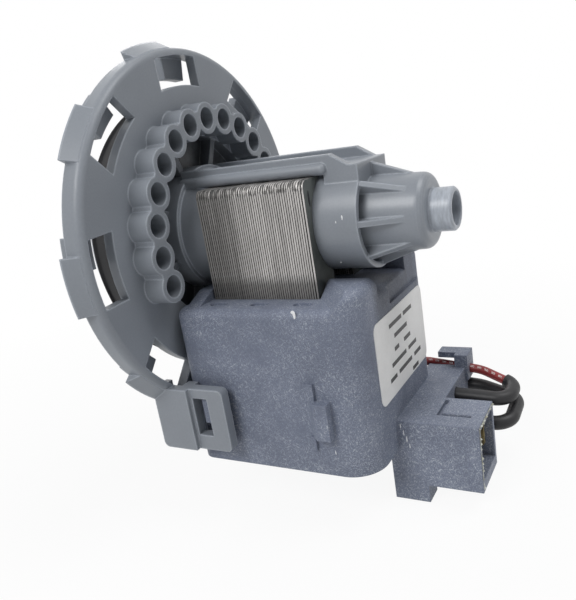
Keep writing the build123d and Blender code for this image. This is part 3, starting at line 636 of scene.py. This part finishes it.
class PUMP_OT_finishes(bpy.types.Operator):
    """Makes the materials and gives every CAD node its own"""
    bl_idname = "pump.finishes"
    bl_label = "Finishes"

    def mouldings(self, tint):
        """The grey mouldings that show, with edges paled partly by wear and partly as painted highlight, a painted
        highlight on the boss, and painted shade in the well and under the can.
        """
        plastic("light_moulding", tint.light, 0.33, relief=MOULDED_RELIEF, variety=0.09, edge=0.7,
                radius=0.5 * MM, specular=0.5, pale_gain=2.3, paler_patches=painted_boss_highlight)
        plastic("flange_moulding", tint.light, 0.38, relief=MOULDED_RELIEF, variety=0.09, edge=0.7,
                radius=0.5 * MM, specular=0.45, pale_gain=2.3, painted_shade=painted_well_shade)
        plastic("dark_moulding", tint.dark, 0.54, grain=2200.0, relief=SPARKED_RELIEF, variety=0.24,
                edge=0.5, specular=0.35, fibre=tint.fibre, painted_shade=painted_saddle_shade)

    def other_plastics(self, tint):
        """Rubber, black insulation, ink, broken skin, and the plastics and bearings inside."""
        plastic("black_rubber", tint.rubber, 0.42, grain=1800.0, relief=RUBBER_RELIEF, variety=0.3, edge=0.1)
        plastic("natural_nylon", tint.nylon, 0.45, variety=0.05)
        plastic("bearing_stock", tint.bearing, 0.5)
        plastic("black_moulding", tint.black_plastic, 0.45, variety=0.2, edge=0.15)
        plastic("protector_case", tint.protector, 0.4)
        plastic("black_insulation", tint.black, 0.45, grain=900.0, relief=BLACK_LEAD_RELIEF, variety=0.35,
                edge=0.0, radius=0.1 * MM)
        plastic("plain_ink", tint.bars, 0.5, variety=0.25, edge=0.0, radius=0.05 * MM)
        plastic("broken_skin", tint.chip, 0.4, variety=0.1, edge=0.0, radius=0.05 * MM)

    def metals(self, tint):
        """Blades, windings, shaft, magnet and sheets."""
        metal("terminal_brass", tint.brass, 0.34, BLADE_STREAKS)
        metal("wound_copper", tint.copper, 0.32, WIRE_STREAKS, relief=WIRE_RELIEF)
        metal("ground_steel", tint.shaft, 0.24, SHAFT_STREAKS)
        metal("magnet_ferrite", tint.ferrite, 0.55, FERRITE_STREAKS, shine=0.2)
        sheet_face_material(tint.sheet_face)
        sheet_edge_material(tint.sheet_edge)

    def execute(self, context):
        tint = picks("colours")
        GROUPS["grain"] = grain_group()
        GROUPS["fibre"] = fibre_group()
        GROUPS["edge"] = edge_group()
        self.mouldings(tint)
        self.other_plastics(tint)
        self.metals(tint)
        sticker_material(tint.sticker)
        red_lead_material(tint.red, tint.dashes)
        flash_material(tint.flash, tint.yellowed)
        for part in frame["record"]["subparts"]:
            finish = FINISH_OF_SLOT[part["material_slot"]]
            set_finish(frame["nodes"][part["node"]], MATERIALS[finish])
        set_finish(frame["nodes"]["mounting_flange"], MATERIALS["flange_moulding"])
        return {"FINISHED"}


class PUMP_OT_sheet_stack(bpy.types.Operator):
    """Cuts the core into its punched sheets and paints the shade of the dimple on the last one"""
    bl_idname = "pump.sheet_stack"
    bl_label = "Sheet stack"

    doubles = 0.001 * MM        # points closer than this are one
    end_facing = 0.9            # least X of an end face's normal
    clearing = 3                # sheets before the last shaded one where the painted shade begins to clear
    cleared_over = 6            # sheets that it takes to clear

    def sheet(self, pitch, thick):
        """One sheet at the flange end of the stack, from the outline of the core's end face."""
        pattern = bmesh.new()
        pattern.from_mesh(frame["nodes"]["stator_core"].data)
        bmesh.ops.remove_doubles(pattern, verts=pattern.verts, dist=self.doubles)
        pattern.normal_update()
        keep = CORE_HI.x - pitch / 2
        spare = [face for face in pattern.faces
                 if face.calc_center_median().x < keep or face.normal.x < self.end_facing]
        if len(spare) == len(pattern.faces):
            raise RuntimeError("the core's end face was not found")
        bmesh.ops.delete(pattern, geom=spare, context="FACES")
        for corner in pattern.verts:
            corner.co.x = CORE_LO.x + thick
        grown = bmesh.ops.extrude_face_region(pattern, geom=pattern.faces[:])
        moved = [item for item in grown["geom"] if isinstance(item, bmesh.types.BMVert)]
        bmesh.ops.translate(pattern, verts=moved, vec=(-thick, 0.0, 0.0))
        bmesh.ops.recalc_face_normals(pattern, faces=pattern.faces[:])
        mesh = bpy.data.meshes.new("sheet_pattern")
        pattern.to_mesh(mesh)
        pattern.free()
        return mesh

    def stack(self, values):
        """All sheets, each a little out of line, with its brightness in the attribute tone; the sheets beside the
        flange are darker as painted shade.
        """
        chance = random.Random(values.seed)
        pitch = (CORE_HI.x - CORE_LO.x) / values.count
        thick = pitch * values.solid_share
        sheet = self.sheet(pitch, thick)
        stack = bmesh.new()
        tone = stack.faces.layers.float.new("tone")
        for number in range(values.count):
            stack.faces.ensure_lookup_table()
            start = len(stack.faces)
            stack.from_mesh(sheet)
            stack.faces.ensure_lookup_table()
            fresh = stack.faces[start:]
            corners = list({corner for face in fresh for corner in face.verts})
            slide = number * pitch + (pitch - thick) / 2
            if number == values.count - 1:
                slide = CORE_HI.x - CORE_LO.x - thick
            squeeze = 1.0 + chance.uniform(-1.0, 0.0) * values.scatter / CORE_HI.y
            drop = chance.uniform(-1.0, 0.0) * values.scatter
            bmesh.ops.translate(stack, verts=corners, vec=(slide, 0.0, drop))
            bmesh.ops.scale(stack, verts=corners, vec=(1.0, squeeze, 1.0))
            # Sheets beside the flange get a lower tone: painted shade from the flange and bridge
            cleared = (number - values.painted_shade_sheets + self.clearing) / self.cleared_over
            cleared = min(1.0, max(0.0, cleared))
            light = values.painted_shade_tone + (values.clear_tone - values.painted_shade_tone) * cleared
            light += chance.uniform(-values.uneven, values.uneven)
            for face in fresh:
                flat = abs(face.normal.x) > 0.5
                face.material_index = 0 if flat else 1
                face[tone] = light
        bpy.data.meshes.remove(sheet)
        return stack

    def dimple(self, values):
        """A thin dark ellipse on the last sheet: painted shade that stands for the punched dimple's hollow."""
        ellipse = bmesh.new()
        middle = Vector((CORE_HI.x, -values.dimple_y, values.dimple_z))
        face_on = Matrix.Translation(middle) @ Matrix.Rotation(math.pi / 2, 4, "Y")
        stretch = Matrix.Diagonal((values.dimple_long / 2, values.dimple_wide / 2, 1.0, 1.0))
        bmesh.ops.create_circle(ellipse, cap_ends=True, radius=1.0, segments=24, matrix=face_on @ stretch)
        bmesh.ops.translate(ellipse, verts=ellipse.verts[:], vec=(values.dimple_thick, 0.0, 0.0))
        bmesh.ops.solidify(ellipse, geom=ellipse.faces[:], thickness=values.dimple_thick)
        bmesh.ops.recalc_face_normals(ellipse, faces=ellipse.faces[:])
        return ellipse

    def execute(self, context):
        values = picks("sheets")
        finishes = ("sheet_face", "sheet_edge")
        made = make_piece("core_sheets", self.stack(values), finishes, "stator_core", 25.0)
        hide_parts("stator_core")
        mark = make_piece("core_dimple", self.dimple(values), ("black_rubber",), "stator_core")
        return {"FINISHED"}


class PUMP_OT_sticker(bpy.types.Operator):
    """Lays plain bars on the bare sticker"""
    bl_idname = "pump.sticker"
    bl_label = "Sticker"

    # Start and end of the bars of each row, from the sticker's middle, as shares of half its width
    rows = (
        ((-0.46, 0.05), (0.13, 0.5)),
        ((-0.3, 0.24),),
        ((-0.34, -0.16), (0.06, 0.34)),
        ((-0.5, 0.1), (0.2, 0.56)),
        ((-0.62, -0.36), (-0.26, 0.3), (0.42, 0.72)),
        ((0.3, 0.56),),
    )

    def execute(self, context):
        values = picks("sticker")
        middle = (STICKER_LO.y + STICKER_HI.y) / 2
        half = (STICKER_HI.y - STICKER_LO.y) / 2
        bars = bmesh.new()
        for number, row in enumerate(self.rows):
            height = STICKER_HI.z - values.first_drop - number * values.pitch
            for start, end in row:
                centre = (STICKER_HI.x + values.ink / 2, middle + half * (start + end) / 2, height)
                size = Matrix.Diagonal((values.ink, half * (end - start), values.bar_tall, 1.0))
                bmesh.ops.create_cube(bars, size=1.0, matrix=Matrix.Translation(centre) @ size)
        bmesh.ops.recalc_face_normals(bars, faces=bars.faces[:])
        made = make_piece("sticker_bars", bars, ("plain_ink",), "blank_label")
        return {"FINISHED"}


class PUMP_OT_marks(bpy.types.Operator):
    """Adds the torn flash at the connector's mouth, the nicks on the can and the chips on the housing"""
    bl_idname = "pump.marks"
    bl_label = "Flash, nicks and chips"

    # Edges of the mouth that carry flash, each from one (Y, Z) to the next in mm
    edges = (((4.3, -40.3), (-6.6, -40.3)), ((-6.7, -40.4), (-6.7, -53.2)))
    flash_steps = 34
    flash_doubles = 0.002 * MM

    # Place (X, Y, Z) in mm, then breadth and height as shares of the usual size
    nicks = (
        (36.72, -10.08, 1.5, 0.5, 1.7),
        (35.4, -10.14, 0.8, 0.35, 0.9),
        (33.8, -7.03, -7.43, 0.4, 0.6),
    )
    chips = (
        (29.2, -19.5, -13.75, 1.0, 2.6),
        (28.9, -19.35, -13.3, 1.4, 1.2),
        (41.7, -7.0, -41.1, 0.3, 1.8),
        (42.2, -7.0, -42.5, 0.35, 2.2),
        (42.7, -7.0, -43.9, 0.4, 2.4),
        (43.2, -7.0, -45.3, 0.3, 1.8),
        (33.4, -19.5, -41.0, 0.35, 1.6),
    )
    # Half the thickness of a flake, and how far its points stray, as shares of the usual size
    flake_depth = 0.16
    flake_jitter = 0.05

    def flash(self, values, chance):
        """A ragged rim along the edges of the mouth."""
        torn = bmesh.new()
        outward = Vector((1.0, 0.0, 0.0))
        for start, end in self.edges:
            first = Vector((HOUSING_HI.x, start[0] * MM, start[1] * MM))
            run = Vector((HOUSING_HI.x, end[0] * MM, end[1] * MM)) - first
            side = run.cross(outward).normalized()
            grid = bmesh.ops.create_grid(torn, x_segments=self.flash_steps, y_segments=2, size=0.5)
            drawn = {}
            for corner in grid["verts"]:
                along, across = corner.co.x + 0.5, corner.co.y + 0.5
                step = round(along, 4)
                if step not in drawn:
                    drawn[step] = (chance.uniform(0.1, 1.0) ** 2, chance.uniform(-0.6, 0.6))
                high, lean = drawn[step]
                rise = outward * (across * high * values.flash_wide * 1.6)
                drift = side * (across * lean * values.flash_wide * 0.8)
                corner.co = first + run * along + rise + drift
        bmesh.ops.remove_doubles(torn, verts=torn.verts[:], dist=self.flash_doubles)
        bmesh.ops.solidify(torn, geom=torn.faces[:], thickness=values.flash_thick)
        bmesh.ops.recalc_face_normals(torn, faces=torn.faces[:])
        return torn

    def flakes(self, places, size, chance):
        """Small uneven flakes, half sunk where they sit."""
        nicked = bmesh.new()
        for x, y, z, broad, tall in places:
            place = Matrix.Translation(Vector((x, y, z)) * MM)
            shape = Matrix.Diagonal((size * 0.5 * broad, size * self.flake_depth, size * 0.5 * tall, 1.0))
            ball = bmesh.ops.create_icosphere(nicked, subdivisions=2, radius=1.0, matrix=place @ shape)
            for corner in ball["verts"]:
                jitter = [chance.uniform(-self.flake_jitter, self.flake_jitter) * size for _ in range(3)]
                corner.co += Vector(jitter)
        bmesh.ops.recalc_face_normals(nicked, faces=nicked.faces[:])
        return nicked

    def execute(self, context):
        values = picks("marks")
        chance = random.Random(values.seed)
        torn = self.flash(values, chance)
        made = make_piece("mouth_flash", torn, ("torn_flash",), "coil_housing", 50.0)
        nicked = self.flakes(self.nicks, values.chip_size, chance)
        made = make_piece("can_nicks", nicked, ("broken_skin",), "rotor_can", 60.0)
        chipped = self.flakes(self.chips, values.chip_size, chance)
        made = make_piece("housing_chips", chipped, ("broken_skin",), "coil_housing", 60.0)
        return {"FINISHED"}


class PUMP_OT_stage(bpy.types.Operator):
    """Sets the floor, the lights, the world and the camera"""
    bl_idname = "pump.stage"
    bl_label = "Stage"

    # Name, place and size of each lamp in metres, and the place that all of them face
    lamps = (
        ("key", (-0.1, -0.5, 0.42), 0.34),
        ("top", (0.3, 0.08, 0.53), 0.4),
        ("rim", (-0.35, 0.45, 0.3), 0.3),
    )
    aim = (0.02, 0.0, -0.01)
    floor_half = 6.0

    def seen(self, tree):
        """1 on rays that show the background: camera, mirror-like and see-through ones."""
        path = add(tree, "ShaderNodeLightPath")
        most = sums(tree, "MAXIMUM", path.outputs["Is Camera Ray"], path.outputs["Is Glossy Ray"])
        return sums(tree, "MAXIMUM", most, path.outputs["Is Transmission Ray"])

    def plain_white(self, tree, kind):
        """A white light shader of strength 1."""
        made = add(tree, kind)
        feed(tree, made, "Color", WHITE)
        feed(tree, made, "Strength", 1.0)
        return made

    def mix_to_surface(self, tree, share_of_second, first, second, end):
        """Sends a mix of two shaders to the end node's surface."""
        mixed = add(tree, "ShaderNodeMixShader")
        feed(tree, mixed, 0, share_of_second)
        tree.links.new(first.outputs[0], mixed.inputs[1])
        tree.links.new(second.outputs[0], mixed.inputs[2])
        tree.links.new(mixed.outputs[0], tree.nodes[end].inputs["Surface"])

    def floor_paint(self, values, base):
        """White to the camera, with a little of the real shading near the part."""
        tree, skin, place = new_material("floor_paint", 0.9, specular=0.1)
        shade = noise(tree, place, 3.0, detail=2.0, rough=0.5)
        low, high = toned(base, 1.0, -0.01), toned(base, 1.0, 0.01)
        feed(tree, skin, "Base Color", blend_colours(tree, shade, low, high))
        distance = add(tree, "ShaderNodeVectorMath", operation="LENGTH")
        feed(tree, distance, 0, place)
        span = (values.shadow_near, values.shadow_far)
        shaded = ramp(tree, distance.outputs["Value"], *span, values.shadow, 0.0)
        white = product(tree, self.seen(tree), sums(tree, "SUBTRACT", 1.0, shaded))
        glow = self.plain_white(tree, "ShaderNodeEmission")
        self.mix_to_surface(tree, white, skin, glow, "Material Output")

    def floor(self, values):
        """A wide floor just below the part."""
        self.floor_paint(values, picks("colours").floor)
        plane = bmesh.new()
        level = Matrix.Translation((0.0, 0.0, CAD_BOX[0].z - values.floor_drop))
        bmesh.ops.create_grid(plane, x_segments=4, y_segments=4, size=self.floor_half, matrix=level)
        made = new_object("pale_floor", plane, ("floor_paint",))

    def world(self, values):
        """Soft light on the part, and white where the world itself is seen."""
        made = bpy.data.worlds.new("studio")
        bpy.context.scene.world = made
        made.use_nodes = True
        tree = made.node_tree
        soft = tree.nodes["Background"]
        feed(tree, soft, "Color", WHITE)
        feed(tree, soft, "Strength", values.ambient)
        plain = self.plain_white(tree, "ShaderNodeBackground")
        self.mix_to_surface(tree, self.seen(tree), soft, plain, "World Output")

    def camera(self, values):
        """The view of the photograph."""
        turn, rise, roll = values.turn, values.rise, values.roll
        level = Vector((math.cos(turn), math.sin(turn), 0.0))
        back = Vector((math.sin(turn) * math.cos(rise), -math.cos(turn) * math.cos(rise), math.sin(rise)))
        upright = back.cross(level)
        right = math.cos(roll) * level + math.sin(roll) * upright
        up = math.cos(roll) * upright - math.sin(roll) * level
        data = bpy.data.cameras.new("photo_view")
        data.sensor_fit = "HORIZONTAL"
        data.sensor_width = 36.0
        data.lens = values.lens
        data.clip_start = 0.01
        data.clip_end = 50.0
        made = bpy.data.objects.new("photo_view", data)
        bpy.context.scene.collection.objects.link(made)
        pose = Matrix((right, up, back)).transposed().to_4x4()
        pose.translation = Vector(values.place)
        made.matrix_world = pose
        bpy.context.scene.camera = made

    def lights(self, values):
        """The round lamps, turned to face the part."""
        for name, place, size in self.lamps:
            data = bpy.data.lights.new(name, "AREA")
            data.shape = "DISK"
            data.size = size
            data.energy = getattr(values, name)
            made = bpy.data.objects.new(name, data)
            bpy.context.scene.collection.objects.link(made)
            made.location = place
            made.rotation_euler = (Vector(self.aim) - Vector(place)).to_track_quat("-Z", "Y").to_euler()

    def execute(self, context):
        values = picks("stage")
        self.floor(values)
        self.world(values)
        self.camera(values)
        self.lights(values)
        context.scene.view_settings.view_transform = "Standard"
        return {"FINISHED"}


class PUMP_PT_panel(bpy.types.Panel):
    """Lists the pump's operators and settings"""
    bl_idname = "PUMP_PT_panel"
    bl_label = "Drain pump"
    bl_space_type = "VIEW_3D"
    bl_region_type = "UI"
    bl_category = "Drain pump"

    def draw(self, context):
        for operator in OPERATORS:
            self.layout.operator(operator.bl_idname)
        for name, group in SETTINGS.items():
            box = self.layout.box()
            box.label(text=name.capitalize())
            for key in group.__annotations__:
                box.prop(picks(name), key)


SETTINGS = {
    "colours": PumpColours,
    "sheets": PumpSheets,
    "sticker": PumpSticker,
    "marks": PumpMarks,
    "stage": PumpStage,
}
OPERATORS = (PUMP_OT_finishes, PUMP_OT_sheet_stack, PUMP_OT_sticker, PUMP_OT_marks, PUMP_OT_stage)


def register():
    for made in (*SETTINGS.values(), *OPERATORS, PUMP_PT_panel):
        bpy.utils.register_class(made)
    for name, group in SETTINGS.items():
        setattr(bpy.types.Scene, "pump_" + name, bpy.props.PointerProperty(type=group))


def unregister():
    for name in SETTINGS:
        delattr(bpy.types.Scene, "pump_" + name)
    for made in reversed((*SETTINGS.values(), *OPERATORS, PUMP_PT_panel)):
        bpy.utils.unregister_class(made)


def main():
    register()
    bpy.ops.pump.finishes()
    bpy.ops.pump.sheet_stack()
    bpy.ops.pump.sticker()
    bpy.ops.pump.marks()
    bpy.ops.pump.stage()


if __name__ == "__main__":
    main()
